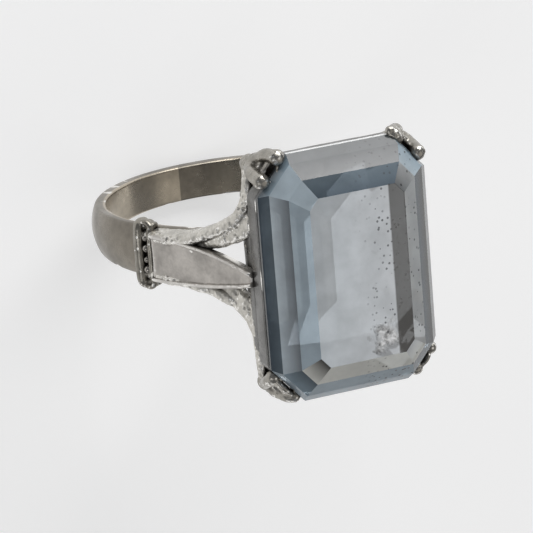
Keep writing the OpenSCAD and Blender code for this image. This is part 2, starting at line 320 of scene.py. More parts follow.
def ball(centre, radius, squash=(1, 1, 1), n=24, m=32):
    """Ellipsoid on a grid of latitude and longitude, with a fan at each pole."""
    f = np.linspace(0, np.pi, n + 1)[1:-1]
    a = np.linspace(0, 2 * np.pi, m, endpoint=False)
    grid = np.stack([np.sin(f)[:, None] * np.cos(a), np.sin(f)[:, None] * np.sin(a),
                     np.cos(f)[:, None] * np.ones(m)], -1)
    verts, faces = loft(grid)
    verts[-2:] = [(0, 0, 1), (0, 0, -1)]
    return np.asarray(centre) + verts * radius * np.asarray(squash), faces


def lattice(cell, seed):
    """Repeatable pseudo random numbers from 0 to 1 for whole-number cells, by integer hashing."""
    h = cell[..., 0] * 73856093 ^ cell[..., 1] * 19349663 ^ cell[..., 2] * 83492791 ^ (seed * 2654435761)
    h = (h ^ (h >> 13)) * 1274126177
    return ((h ^ (h >> 16)) & 0xFFFF) / 65535.0


def value_noise(p, pitch, seed):
    """Smooth noise from -1 to 1: lattice numbers at the eight corners of a cell of that pitch,
    mixed with smoothstep weights."""
    q = p / pitch
    cell = np.floor(q).astype(np.int64)
    f = q - cell
    f = f * f * (3 - 2 * f)
    total = np.zeros(len(p))
    for corner in np.ndindex(2, 2, 2):
        c = np.array(corner)
        total += np.prod(np.where(c, f, 1 - f), -1) * lattice(cell + c, seed)
    return 2 * total - 1


def pits(p, pitch, share, seed):
    """Round pits from 0 to 1 deep: each cell holds at most one, at a random centre with a random
    radius, and depth falls with the square of the distance."""
    q = p / pitch
    cell = np.floor(q).astype(np.int64)
    depth = np.zeros(len(p))
    for step in np.ndindex(3, 3, 3):
        c = cell + np.array(step) - 1
        centre = c + 0.15 + 0.7 * np.stack([lattice(c, seed + i) for i in (1, 2, 3)], -1)
        radius = 0.25 + 0.35 * lattice(c, seed + 4)
        d = np.linalg.norm(q - centre, axis=-1) / radius
        here = lattice(c, seed + 5) < share
        depth = np.maximum(depth, np.where(here, np.clip(1 - d * d, 0, 1), 0))
    return depth


def joined(shells):
    """Several (vertices, faces) shells as one."""
    verts, faces, base = [], [], 0
    for v, f in shells:
        verts.append(v)
        faces += [[i + base for i in face] for face in f]
        base += len(v)
    return np.concatenate(verts), faces


def fused(shells, voxel=0.05, relax=3):
    """Overlapping closed shells in millimetres melted into one skin of voxel quads, then relaxed."""
    verts, faces = joined(shells)
    mesh = bpy.data.meshes.new("melt")
    mesh.from_pydata(verts.tolist(), [], faces)
    melt = bpy.data.objects.new("melt", mesh)
    bpy.context.scene.collection.objects.link(melt)
    voxels = melt.modifiers.new("voxels", "REMESH")
    voxels.mode = "VOXEL"
    voxels.voxel_size = voxel
    ease = melt.modifiers.new("ease", "SMOOTH")
    ease.factor, ease.iterations = 0.5, relax
    skin = melt.evaluated_get(bpy.context.evaluated_depsgraph_get()).to_mesh()
    co = np.empty(len(skin.vertices) * 3)
    skin.vertices.foreach_get("co", co)
    loops = np.empty(len(skin.loops), np.int32)
    skin.loops.foreach_get("vertex_index", loops)
    melt.to_mesh_clear()
    bpy.data.objects.remove(melt)
    bpy.data.meshes.remove(mesh)
    return co.reshape(-1, 3), loops.reshape(-1, 4).tolist()


def normals_of(verts, faces):
    """Vertex normals of a skin."""
    mesh = bpy.data.meshes.new("probe")
    mesh.from_pydata(verts.tolist(), [], faces)
    out = np.empty(len(verts) * 3)
    mesh.vertex_normals.foreach_get("vector", out)
    bpy.data.meshes.remove(mesh)
    return out.reshape(-1, 3)


def weathered(skin, wave=0.02, wave_pitch=1.1, grain=0.0, grain_pitch=0.22, pit=0.0, pit_pitch=0.5,
              share=0.4, seed=1):
    """Skin moved along its normals by two scales of smooth noise, less round pits."""
    verts, faces = skin
    move = wave * value_noise(verts, wave_pitch, seed)
    if grain:
        move += grain * value_noise(verts, grain_pitch, seed + 7)
    if pit:
        move -= pit * pits(verts, pit_pitch, share, seed + 20)
    return verts + normals_of(verts, faces) * move[:, None], faces


def mirrored(skin, x=1, y=1):
    """Skin with its x and y multiplied by 1 or -1, its faces turned over where that flips them."""
    verts, faces = skin
    if x * y < 0:
        faces = [face[::-1] for face in faces]
    return verts * (x, y, 1), faces


def piece(name, skin, material, nodes, smooth=True, crease=40):
    """Object made of a skin in millimetres, with doubles merged and faces turned outwards."""
    verts, faces = skin
    mesh = bpy.data.meshes.new(name)
    mesh.from_pydata((verts * MM).tolist(), [], faces)
    bm = bmesh.new()
    bm.from_mesh(mesh)
    bmesh.ops.remove_doubles(bm, verts=bm.verts, dist=1e-7)
    bmesh.ops.dissolve_degenerate(bm, edges=bm.edges, dist=1e-7)
    bmesh.ops.recalc_face_normals(bm, faces=bm.faces)
    bm.to_mesh(mesh)
    bm.free()
    if smooth:
        mesh.polygons.foreach_set("use_smooth", np.ones(len(mesh.polygons), bool))
        mesh.set_sharp_from_angle(angle=math.radians(crease))
    mesh.materials.append(material)
    obj = bpy.data.objects.new(name, mesh)
    bpy.context.scene.collection.objects.link(obj)
    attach(obj, "root")
    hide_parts(*nodes)
    return obj


# ---------------------------------------------------------------- materials


def nodes_of(name):
    """New material, its node tree's adder and its linker."""
    mat = bpy.data.materials.new(name)
    mat.use_nodes = True
    tree = mat.node_tree
    tree.nodes.clear()

    def add(kind, **values):
        node = tree.nodes.new(kind)
        for key, value in values.items():
            if key.startswith("in_"):
                node.inputs[key[3:].replace("_", " ")].default_value = value
            else:
                setattr(node, key, value)
        return node

    return mat, add, tree.links.new


def ramp(add, link, fac, stops):
    """Colour ramp on fac with (position, grey or colour) stops."""
    node = add("ShaderNodeValToRGB")
    for i, (pos, col) in enumerate(stops):
        el = node.color_ramp.elements[i] if i < 2 else node.color_ramp.elements.new(pos)
        el.position = pos
        el.color = (*col, 1) if np.ndim(col) else (col, col, col, 1)
    link(fac, node.inputs["Fac"])
    return node.outputs["Color"]


def feed(link, socket, value):
    """Input socket fed from another socket, or set to a constant."""
    if isinstance(value, bpy.types.NodeSocket):
        link(value, socket)
    else:
        socket.default_value = value


def mix(add, link, factor, a, b, **kind):
    """Socket of a and b mixed by the factor; kind can set another data type or blend."""
    node = add("ShaderNodeMix", **{"data_type": "RGBA", **kind})
    for key, value in (("Factor", factor), ("A", a), ("B", b)):
        feed(link, node.inputs[key], value)
    return node.outputs["Result"]


def calc(add, link, operation, *values):
    """Socket of a math operation on sockets or constants."""
    node = add("ShaderNodeMath", operation=operation)
    for socket, value in zip(node.inputs, values):
        feed(link, socket, value)
    return node.outputs["Value"]


def fade(add, link, value, start, end, low=0.0, high=1.0):
    """Socket that goes from low at start to high at end, and stays there beyond them."""
    node = add("ShaderNodeMapRange", in_From_Min=start, in_From_Max=end, in_To_Min=low, in_To_Max=high)
    link(value, node.inputs["Value"])
    return node.outputs["Result"]


def texture(add, link, coords, kind, **values):
    """Texture node read at coords."""
    node = add("ShaderNodeTex" + kind, **values)
    link(coords, node.inputs["Vector"])
    return node


def bumped(add, link, height, strength, distance, normal=None):
    """Normal socket raised by a height, on top of another normal if there is one."""
    node = add("ShaderNodeBump", in_Strength=strength, in_Distance=distance)
    link(height, node.inputs["Height"])
    if normal:
        link(normal, node.inputs["Normal"])
    return node.outputs["Normal"]


def inner_light_and_patch(add, link, coords, tone):
    """Tone of the band with its inner face made paler by painted light, and a darker patch there that starts
    sharply beside the lowest point and fades out on the other side."""
    parts = add("ShaderNodeSeparateXYZ")
    link(coords, parts.inputs["Vector"])
    flat = add("ShaderNodeVectorMath", operation="MULTIPLY")
    link(coords, flat.inputs[0])
    flat.inputs[1].default_value = (1, 0, 1)
    radius = add("ShaderNodeVectorMath", operation="LENGTH")
    link(flat.outputs["Vector"], radius.inputs[0])
    x, z = parts.outputs["X"], parts.outputs["Z"]
    inner = fade(add, link, radius.outputs["Value"], (FINGER_R + 0.25) * MM, (FINGER_R + 0.15) * MM)
    inner_patch = fade(add, link, x, PATCH_EDGE_X * MM, (PATCH_EDGE_X - 0.06) * MM)
    fading = fade(add, link, x, -2.6 * MM, -1.0 * MM, 0.35, 1.0)
    low = fade(add, link, z, -8.0 * MM, -8.3 * MM)
    patch = calc(add, link, "MULTIPLY", inner_patch, calc(add, link, "MULTIPLY", fading, low))
    # Painted light: the whole inner face is multiplied paler
    painted_light_inner = mix(add, link, 1.0, tone, INNER_PAINTED_LIGHT, blend_type="MULTIPLY")
    pale = mix(add, link, inner, tone, painted_light_inner)
    return mix(add, link, calc(add, link, "MULTIPLY", inner, patch), pale, PATCH_TINT, blend_type="MULTIPLY")


def silver(name, colour, oxide_and_shade, rough, mottle, grain, occlusion, crust=0.0, reach=0.75, brush=None,
           ridge=(0.53, 0.6), inner_patch=False):
    """Aged silver: mottled tarnish, oxide and painted shade in pits and where nearby surfaces close in,
    ridges made bright by wear and by a painted highlight, fine grain and an optional brushed direction or
    pitted crust."""
    mat, add, link = nodes_of(name)
    coords = add("ShaderNodeTexCoord").outputs["Object"]
    mott = texture(add, link, coords, "Noise", in_Scale=mottle, in_Detail=6, in_Roughness=0.6).outputs["Fac"]
    fine = texture(add, link, coords, "Noise", in_Scale=mottle * 6, in_Detail=4,
                   in_Roughness=0.65).outputs["Fac"]
    spots = ramp(add, link, mott, [(0.35, 0.55), (0.62, 1.0)])
    shade = ramp(add, link, fine, [(0.3, 0.75), (0.65, 1.1)])
    metal = mix(add, link, 0.55, (*colour, 1), spots, blend_type="MULTIPLY")
    metal = mix(add, link, 0.45, metal, shade, blend_type="MULTIPLY")
    if inner_patch:
        metal = inner_light_and_patch(add, link, coords, metal)

    # Oxide and painted shade: dark where the ambient occlusion finds nearby surfaces, and in pits
    hollow = add("ShaderNodeAmbientOcclusion", samples=8)
    hollow.inputs["Distance"].default_value = occlusion
    wander = calc(add, link, "MULTIPLY_ADD", mott, 0.5, hollow.outputs["AO"])
    form = add("ShaderNodeNewGeometry").outputs["Pointiness"]
    open_air = ramp(add, link, wander, [(0.45, 0.0), (reach + 0.25, 1.0)])
    unpitted = ramp(add, link, form, [(0.40, 0.0), (0.47, 1.0)])
    clear_of_oxide_and_shade = mix(add, link, 1.0, open_air, unpitted, blend_type="MULTIPLY")
    # Ridges turn bright: wear, and a painted highlight
    ridge_wear_and_highlight = ramp(add, link, form, [(ridge[0], 0.0), (ridge[1], 1.0)])
    worn_and_highlit = mix(add, link, ridge_wear_and_highlight, metal, POLISHED_AND_HIGHLIGHT)
    surface = mix(add, link, clear_of_oxide_and_shade, (*oxide_and_shade, 1), worn_and_highlit)

    wear = fade(add, link, mott, 0.3, 0.7, rough + 0.12, rough - 0.072)
    smooth = mix(add, link, ridge_wear_and_highlight, wear, RUBBED_ROUGH, data_type="FLOAT")
    dull = mix(add, link, clear_of_oxide_and_shade, DULL_ROUGH, smooth, data_type="FLOAT")

    normal = bumped(add, link, fine, grain, FINE_BUMP)
    if brush:
        lines = add("ShaderNodeMapping")
        lines.inputs["Scale"].default_value = brush
        link(coords, lines.inputs["Vector"])
        strokes = texture(add, link, lines.outputs["Vector"], "Noise", in_Scale=1.0, in_Detail=5,
                          in_Roughness=0.7)
        normal = bumped(add, link, strokes.outputs["Fac"], 0.35, FINE_BUMP, normal)
    if crust:
        cells = texture(add, link, coords, "Voronoi", in_Scale=3600, feature="SMOOTH_F1")
        normal = bumped(add, link, cells.outputs["Distance"], crust, CRUST_BUMP, normal)
    shader = add("ShaderNodeBsdfPrincipled", in_Metallic=1.0)
    link(surface, shader.inputs["Base Color"])
    link(dull, shader.inputs["Roughness"])
    link(normal, shader.inputs["Normal"])
    link(shader.outputs["BSDF"], add("ShaderNodeOutputMaterial").inputs["Surface"])
    return mat


def stone_glass():
    """Pale stone: a body that is milky where the facet's tone has alpha, so that the painted reflections of
    the facet tones show, peppery specks in one part, a crumbled feather in the table and a painted brown
    reflection along one of its edges."""
    mat, add, link = nodes_of("pale_stone")
    coords = add("ShaderNodeTexCoord").outputs["Object"]
    # Per-corner tone: painted reflections on the crown and table, a painted highlight on the front girdle,
    # and the clear body colour on the pavilion
    tone = add("ShaderNodeVertexColor", layer_name="tone")
    place = add("ShaderNodeSeparateXYZ")
    link(coords, place.inputs["Vector"])

    specks = texture(add, link, coords, "Voronoi", in_Scale=2900, in_Randomness=1.0).outputs["Distance"]
    patches = texture(add, link, coords, "Noise", in_Scale=520, in_Detail=3).outputs["Fac"]
    dots = calc(add, link, "MULTIPLY", calc(add, link, "LESS_THAN", specks, 0.23),
                ramp(add, link, patches, [(0.43, 0.0), (0.52, 1.0)]))
    half = fade(add, link, place.outputs["X"], 0.0004, -0.0013, 0.0, 0.8)
    pepper = calc(add, link, "MULTIPLY", dots, half)

    clouds = texture(add, link, coords, "Noise", in_Scale=700, in_Detail=4).outputs["Fac"]
    cloudy = mix(add, link, 1.0, tone.outputs["Color"],
                 ramp(add, link, clouds, [(0.3, 0.8), (0.65, 1.0)]), blend_type="MULTIPLY")

    away = add("ShaderNodeVectorMath", operation="DISTANCE")
    link(coords, away.inputs[0])
    away.inputs[1].default_value = [v * MM for v in FEATHER]
    ragged = texture(add, link, coords, "Noise", in_Scale=1300, in_Detail=5).outputs["Fac"]
    near = fade(add, link, calc(add, link, "MULTIPLY_ADD", ragged, 0.0026, away.outputs["Value"]),
                0.0018, 0.0024, 1.0, 0.0)
    crumbs = texture(add, link, coords, "Voronoi", in_Scale=2400).outputs["Distance"]
    flecks = texture(add, link, coords, "Noise", in_Scale=2600, in_Detail=3).outputs["Fac"]
    chalky = mix(add, link, near, cloudy, ramp(add, link, flecks, [(0.38, 0.35), (0.55, 1.0)]))
    body = mix(add, link, pepper, chalky, (0.05, 0.05, 0.055, 1))

    # Painted reflection: a brown strip inside the table along its -X edge
    edge = fade(add, link, place.outputs["X"], (BROWN_REFLECTION - TABLE_HALF) * MM,
                (BROWN_REFLECTION - 0.1 - TABLE_HALF) * MM, 0.0, 0.92)
    top = calc(add, link, "GREATER_THAN", place.outputs["Z"], (TABLE_Z - 0.01) * MM)
    brown = mix(add, link, calc(add, link, "MULTIPLY", edge, top), body, (*PAINTED_LIGHT_TONES["u"][:3], 1))

    veil = calc(add, link, "MAXIMUM", tone.outputs["Alpha"], calc(add, link, "MULTIPLY", near, 0.85))
    shader = add("ShaderNodeBsdfPrincipled", in_IOR=1.62, in_Roughness=0.03, in_Specular_IOR_Level=0.3)
    link(calc(add, link, "SUBTRACT", 1.0, veil), shader.inputs["Transmission Weight"])
    link(brown, shader.inputs["Base Color"])
    height = calc(add, link, "MULTIPLY", crumbs, near)
    link(bumped(add, link, height, 1.0, 0.00012), shader.inputs["Normal"])
    link(shader.outputs["BSDF"], add("ShaderNodeOutputMaterial").inputs["Surface"])
    return mat


# ---------------------------------------------------------------- shapes of the ring


def octagon(side, end, corner):
    """Stone outline moved inwards: the eight crossings of the side, end and corner lines, for
    arrays of insets. Returns (..., 8, 2)."""
    w, l, d = HALF_W - side, HALF_L - end, CORNER_D - corner
    y = (d - w * math.cos(TURN)) / math.sin(TURN)
    x = (d - l * math.sin(TURN)) / math.cos(TURN)
    pts = [(w, -y), (w, y), (x, l), (-x, l), (-w, y), (-w, -y), (-x, -l), (x, -l)]
    return np.stack([np.stack(np.broadcast_arrays(*p), -1) for p in pts], -2)


def eased_octagon(inset, start, ease=0.22, along=14, bend=5):
    """Octagon for each inset from a starting side, end and corner inset, with its corners eased:
    a quadratic curve joins the points that lie ease from each corner, and even points fill the
    sides. Returns (insets, points, 2)."""
    v = octagon(inset + start[0], inset + start[1], inset + start[2])
    before = v + ease * unit(np.roll(v, 1, -2) - v)
    after = v + ease * unit(np.roll(v, -1, -2) - v)
    t = np.linspace(0, 1, bend)[:, None]
    curve = ((1 - t) ** 2 * before[..., None, :] + 2 * t * (1 - t) * v[..., None, :]
             + t**2 * after[..., None, :])
    s = np.linspace(0, 1, along + 2)[1:-1, None]
    straight = after[..., None, :] * (1 - s) + np.roll(before, -1, -2)[..., None, :] * s
    both = np.concatenate([curve, straight], -2)
    return both.reshape(both.shape[0], -1, 2)


def rail_skin(start, wall, low, high, edge=0.12, m=8, along=26):
    """Octagonal hoop: a rectangle with round edges, wall deep and high - low tall, whose every
    point follows the octagon of its own inset."""
    corner = [(0.0, low), (0.0, high), (wall, high), (wall, low)]
    pts = []
    for (a, z), (sa, sz), turn in zip(corner, [(1, 1), (1, -1), (-1, -1), (-1, 1)], [270, 180, 90, 0]):
        ang = np.radians(np.linspace(turn, turn - 90, m))
        pts.append(np.stack([a + sa * edge + edge * np.cos(ang), z + sz * edge + edge * np.sin(ang)], -1))
    prof = np.concatenate(pts)
    ring = eased_octagon(prof[:, 0], start, along=along)
    z = np.broadcast_to(prof[:, 1][:, None, None], ring.shape[:2] + (1,))
    return hoop(np.concatenate([ring, z], -1))


def shank_skin(sizes):
    """Band: at each angle a D section whose outer face is a 3.2 mm arc and whose edges are eased,
    turned about the finger axis from one shoulder round the back to the other."""
    t_mid, back, top = sizes.shank_t / MM, sizes.back_w / MM, sizes.top_w / MM
    outer, dome, ease = FINGER_R + t_mid, 3.2, 0.16
    ang = np.radians(np.linspace(50, -230, 261))
    z = outer * np.sin(ang)
    share = np.clip((z + outer + 1) / (FINGER_R / 2 + outer + 1), 0, 1)
    half = back / 2 + (top - back) / 2 * share
    q = np.linspace(0, np.pi, 40)
    y = -half[:, None] * np.cos(q)
    e = np.clip((np.abs(y) - (half[:, None] - ease)) / ease, 0, 1)
    drop = ease * (1 - np.sqrt(1 - e * e))
    r_out = outer - dome + np.sqrt(dome**2 - y**2) - drop
    r_in = FINGER_R + 0.004 + drop * 0.8
    r = np.concatenate([r_out, r_in[:, ::-1]], 1)
    yy = np.concatenate([y, y[:, ::-1]], 1)
    rings = np.stack([r * np.cos(ang)[:, None], yy, r * np.sin(ang)[:, None]], -1)
    return loft(rings)


def on_collar(radius, y, angle):
    """Point at a radius and angle round the finger axis, y along it."""
    return (radius * math.cos(angle), y, radius * math.sin(angle))


def collar_skin():
    """Collar of one shoulder: two rolled bars over the band whose ends dip to its edges, an
    eyelet of a torus at each end of the channel, and the channel's floor between them."""
    shells = []
    for turn, r, size, span in ((-2.9, COLLAR_BAR_R, 0.37, 4.6), (2.2, COLLAR_BAR_R - 0.01, 0.24, 4.2)):
        a = COLLAR_ANGLE + math.radians(turn)
        e = span / 2 - size
        pts = [on_collar(9.75, -e - 0.04, a), on_collar(r - 0.22, -e, a), on_collar(r, -e + 0.45, a),
               on_collar(r + 0.02, 0, a), on_collar(r, e - 0.45, a), on_collar(r - 0.22, e, a),
               on_collar(9.75, e + 0.04, a)]
        shells.append(bar(pts, [size * 0.95, size * 1.05, size, size * 0.96, size, size * 1.05, size * 0.95],
                          hint=(math.cos(a), 0, math.sin(a)), n=60))
    a = COLLAR_ANGLE
    radial = np.array([math.cos(a), 0, math.sin(a)])
    along = np.array([-math.sin(a), 0, math.cos(a)])
    for side in (-1, 1):
        f = np.linspace(0, 2 * np.pi, 40, endpoint=False)
        centre = np.array(on_collar(10.22, side * 1.72, a))
        path = centre + 0.44 * (np.cos(f)[:, None] * along + np.sin(f)[:, None] * np.array([0, 1, 0]))
        out = unit(path - centre)
        shells.append(hoop(carry(path, out, np.broadcast_to(radial, path.shape), 0.19, 0.24, 2, 20)))
        shells.append(ball(np.array(on_collar(9.85, side * 1.88, a)), 0.43, (1, 0.9, 1)))
    floor = [on_collar(CHANNEL_R, y, a) for y in (-1.9, 0, 1.9)]
    shells.append(bar(floor, 0.5, 0.26, hint=along, n=20))
    return weathered(fused(shells, 0.055, 2), wave=0.02, wave_pitch=0.7, grain=0.008, pit=0.03,
                     pit_pitch=0.45, share=0.3, seed=31)


def plate_path(n):
    """Outer face of a shoulder plate seen from the side: a shallow arc from the collar to the
    girdle rail. Returns points and outward normals."""
    start = COLLAR_ANGLE + PLATE_LEAD
    foot = (FINGER_R + 1.67) * np.array([math.cos(start), math.sin(start)])
    tip = np.array([HALF_W + 0.28, GIRDLE_Z - 1.3])
    s = np.linspace(0, 1, n)[:, None]
    line = tip - foot
    out = np.array([line[1], -line[0]]) / np.linalg.norm(line)
    pts = foot + line * s - out * 0.2 * 4 * s * (1 - s)
    slope = unit(np.gradient(pts, axis=0))
    normal = np.stack([slope[:, 1], -slope[:, 0]], -1)
    return pts, normal


def plate_skin(sizes):
    """Shoulder plate: a section with a rounded rib along each edge and a faintly hollow face
    between them, carried up the shallow arc while its half width shrinks with the square of the
    distance."""
    wide, narrow, thick = sizes.plate_wide / MM, sizes.plate_narrow / MM, sizes.plate_t / MM
    n = 90
    pts, normal = plate_path(n)
    s = np.linspace(0, 1, n)
    half = wide / 2 - (wide - narrow) / 2 * s**2
    rib_w, rib_h, under = 0.3, 0.2, 0.1
    q = np.linspace(-1, 1, 61)
    q = np.sign(q) * (1 - (1 - np.abs(q)) ** 1.6)
    y = half[:, None] * q
    u = np.clip((np.abs(y) - (half[:, None] - rib_w)) / rib_w, 0, 1)
    round_ = np.sqrt(np.clip(1 - (2 * u - 1) ** 2, 0, 1))
    out = np.where(u < 0.5, rib_h * round_, (rib_h + under) * round_ - under)
    out = out - 0.05 * np.clip(1 - (y / (half[:, None] - rib_w)) ** 2, 0, 1)
    ends = np.clip(np.minimum(s, 1 - s) * n / 3.0, 0, 1)[:, None]
    out = out - 0.08 * (1 - ends) ** 2
    root = thick + 0.9 * np.clip(1 - s * 6, 0, 1)
    back_y = y[:, ::-1] * 0.98
    back = -np.broadcast_to(root[:, None], back_y.shape)
    yy = np.concatenate([y, back_y], 1)
    nn = np.concatenate([out, back], 1)
    return loft(np.stack([pts[:, :1] + normal[:, :1] * nn, yy, pts[:, 1:] + normal[:, 1:] * nn], -1))


def arm_skin(tuck):
    """Shoulder arm: a rounded oblong carried from the shank's edge, flaring out under the plate
    and over to the claw's fork, with a cast surface. Its middle is tucked in under the plate by
    tuck, from 0 to 1."""
    inward = ARM_TUCK * tuck
    path = np.array(ARM_ROUTE) + inward * np.array(ARM_TUCK_SHARE)[:, None]
    shell = bar(path, ARM_DEEP, ARM_THIN, hint=OUTWARD, n=90, power=2.7, m=44)
    web = np.array(WEB_ROUTE) + inward * np.array(WEB_TUCK_SHARE)[:, None]
    gusset = bar(web, WEB_DEEP, WEB_THIN, hint=OUTWARD, n=60, power=2.7, m=40)
    return weathered(fused([shell, gusset], 0.05, 1), wave=0.05, wave_pitch=0.8, grain=0.025, grain_pitch=0.2,
                     pit=0.09, pit_pitch=0.42, share=0.45, seed=51)


def claw_skin(sizes, tips, seed):
    """Forked claw in its corner's frame: a stem from the base rail to the fork, two fingers that
    bend in over the girdle to their tips, a thin web with a notch and a lip on the stone. A tip is
    its place, its radius as a share of the claw's and its stretch along x, y and z."""
    r = sizes.claw_r / MM
    fork = (0.5, 0, GIRDLE_Z - 2.4)
    foot = (-1.05, 0, (BASE_LOW[2] + BASE_HIGH[2]) / 2)
    shells = [bar([foot, (-0.3, 0, GIRDLE_Z - 3.7), fork], [0.4, 0.42, 0.5], n=24, hint=(0, 1, 0)),
              ball(fork, 0.56, (1, 1.1, 1))]
    for (x, y, z), share, stretch in tips:
        tip = np.array([x, y, GIRDLE_Z + z])
        side = math.copysign(1, y)
        shells.append(bar([fork, (0.62, y * 0.45, GIRDLE_Z - 1.5), (x + 0.2, y * 0.85, GIRDLE_Z - 0.6), tip],
                          [0.47, 0.42, 0.42, 0.44], hint=(0, 1, 0), n=40))
        shells.append(ball(tip, r * share, stretch))
        shells.append(bar([tip + (-0.1, 0, -0.1), (-0.15, side * 0.35, GIRDLE_Z + 0.25)], [0.2, 0.1],
                          [0.14, 0.09], hint=(0, 0, 1), n=16))
    shells.append(bar([(0.45, 0, GIRDLE_Z - 2.0), (0.5, 0, GIRDLE_Z - 0.9)], [0.3, 0.75], [0.22, 0.2],
                      hint=(0, 1, 0), n=16))
    if tips[0][0][2] < 0.1:
        (x0, y0, z0), (x1, y1, z1) = tips[0][0], tips[1][0]
        shells.append(bar([(x0, y0, GIRDLE_Z + z0 - 0.1), (x0 + 0.12, 0, GIRDLE_Z - 0.12),
                           (x1, y1, GIRDLE_Z + z1 - 0.1)], 0.22, [0.3, 0.5, 0.3], hint=(1, 0, 0), n=30))
    shells.append(bar([(0.42, -0.8, GIRDLE_Z - 0.35), (0.34, 0, GIRDLE_Z - 0.5),
                       (0.42, 0.8, GIRDLE_Z - 0.35)], 0.16, 0.26, hint=(1, 0, 0), n=24))
    skin = fused(shells, 0.05, 3)
    return weathered(skin, wave=0.045, wave_pitch=0.75, grain=0.012, grain_pitch=0.25, pit=0.045,
                     pit_pitch=0.4, share=0.35, seed=seed)


def to_corner(skin):
    """Skin turned by the corner's angle about Z and moved to the middle of the +X +Y corner."""
    verts, faces = skin
    c, s = math.cos(TURN), math.sin(TURN)
    x, y = verts[:, 0], verts[:, 1]
    return np.stack([x * c - y * s + CORNER_MID[0], x * s + y * c + CORNER_MID[1], verts[:, 2]], -1), faces


def stone_skin():
    """Step-cut stone: one octagon per level, joined by flat facets, closed by the table above and
    by the keel line below."""
    levels = CROWN[::-1] + PAVILION + [(HALF_W - 1e-4, HALF_L - KEEL_HALF,
                                        CORNER_D - KEEL_HALF * math.sin(TURN), KEEL_Z)]
    rings = []
    for side, end, corner, z in levels:
        o = octagon(np.array(side), np.array(end), np.array(corner))
        rings.append(np.concatenate([o, np.full((8, 1), GIRDLE_Z + z)], 1))
    rings = np.array(rings)
    n, m = rings.shape[:2]
    i, j = np.meshgrid(np.arange(n - 1), np.arange(m), indexing="ij")
    a, b = i * m + j, i * m + (j + 1) % m
    faces = np.stack([a, b, b + m, a + m], -1).reshape(-1, 4).tolist()
    faces += [list(range(m)), [(n - 1) * m + k for k in range(m)][::-1]]
    return rings.reshape(-1, 3), faces


def facet_colours_and_reflections(mesh, clear):
    """Corner colours of the stone: the eight sides of each crown step, counted from +X towards +Y, run from a
    lower to an upper tone of painted reflection; the table is painted pale as a painted reflection, the
    girdle grey with a painted white highlight in front, and the pavilion has the clear body colour with no
    veil."""
    faces, corners = len(mesh.polygons), len(mesh.loops)
    centre, normal, place = np.empty((faces, 3)), np.empty((faces, 3)), np.empty((len(mesh.vertices), 3))
    total, vert = np.empty(faces, int), np.empty(corners, int)
    mesh.polygons.foreach_get("center", centre.ravel())
    mesh.polygons.foreach_get("normal", normal.ravel())
    mesh.polygons.foreach_get("loop_total", total)
    mesh.loops.foreach_get("vertex_index", vert)
    mesh.vertices.foreach_get("co", place.ravel())
    owner = np.repeat(np.arange(faces), total)
    side = np.round(np.arctan2(normal[:, 1], normal[:, 0]) / (2 * math.pi / SIDES)).astype(int) % SIDES
    height = centre[:, 2] / MM - GIRDLE_Z
    step = np.searchsorted([c[3] for c in CROWN[1:-1]], height)
    upper = (place[vert, 2] > centre[owner, 2]).astype(int)
    tones = np.array([PAINTED_LIGHT_TONES[k] for k in "".join(FACET_REFLECTIONS)]).reshape(len(CROWN) - 1, SIDES, 2, 4)
    shown = tones[step[owner], side[owner], upper]
    flat = normal[owner, 2] > 0.99
    along = (place[vert, 0] / MM + TABLE_HALF)[:, None] / (2 * TABLE_HALF)
    table = np.array(PAINTED_LIGHT_TONES["p"]) * (1 - along) + np.array(PAINTED_LIGHT_TONES["l"]) * along
    shown = np.where(flat[:, None], table, shown)
    girdle = np.abs(normal[owner, 2]) < 0.05
    # Painted highlight: the girdle's front side is white
    rim = np.where((side[owner] == FRONT_SIDE)[:, None], PAINTED_LIGHT_TONES["w"], PAINTED_LIGHT_TONES["g"])
    shown = np.where(girdle[:, None], rim, shown)
    below = (height[owner] < 0) & ~girdle
    shown = np.where(below[:, None], (*clear, 0.0), shown)
    layer = mesh.color_attributes.new("tone", "FLOAT_COLOR", "CORNER")
    layer.data.foreach_set("color", shown.ravel())


# ---------------------------------------------------------------- operators


def paint(context, key):
    """Material of a kind of piece, made once."""
    if key not in PALETTE:
        colours = context.scene.ring_colours
        if key == "stone":
            PALETTE[key] = stone_glass()
        else:
            PALETTE[key] = silver(colour=tuple(getattr(colours, key)), oxide_and_shade=tuple(colours.oxide_and_shade),
                                  **METALS[key])
    return PALETTE[key]


def placed(obj, columns, place):
    """Object linked to the scene, with its axes and place."""
    obj.matrix_world = Matrix([[*(c[i] for c in columns), place[i]] for i in range(3)] + [[0, 0, 0, 1]])
    bpy.context.scene.collection.objects.link(obj)
    return obj


def floor_material():
    """Pale floor: a faint grain, and a glow that keeps it even."""
    mat, add, link = nodes_of("pale_floor")
    coords = add("ShaderNodeTexCoord").outputs["Object"]
    grain = texture(add, link, coords, "Noise", in_Scale=60.0, in_Detail=2).outputs["Fac"]
    shader = add("ShaderNodeBsdfPrincipled", in_Roughness=0.9, in_Specular_IOR_Level=0.1,
                 in_Emission_Color=(1, 1, 1, 1), in_Emission_Strength=FLOOR_GLOW)
    link(ramp(add, link, grain, [(0.0, 0.55), (1.0, 0.57)]), shader.inputs["Base Color"])
    link(shader.outputs["BSDF"], add("ShaderNodeOutputMaterial").inputs["Surface"])
    return mat


def softbox(name, place, size, power, tint):
    """Square area light that faces the ring."""
    light = bpy.data.lights.new(name, "AREA")
    light.shape, light.size, light.energy, light.color = "SQUARE", size, power, tint
    back = unit(np.array(place) - np.array(LIT_POINT))
    right = unit(np.cross((0, 0, 1), back))
    return placed(bpy.data.objects.new(name, light), (right, np.cross(back, right), back), place)


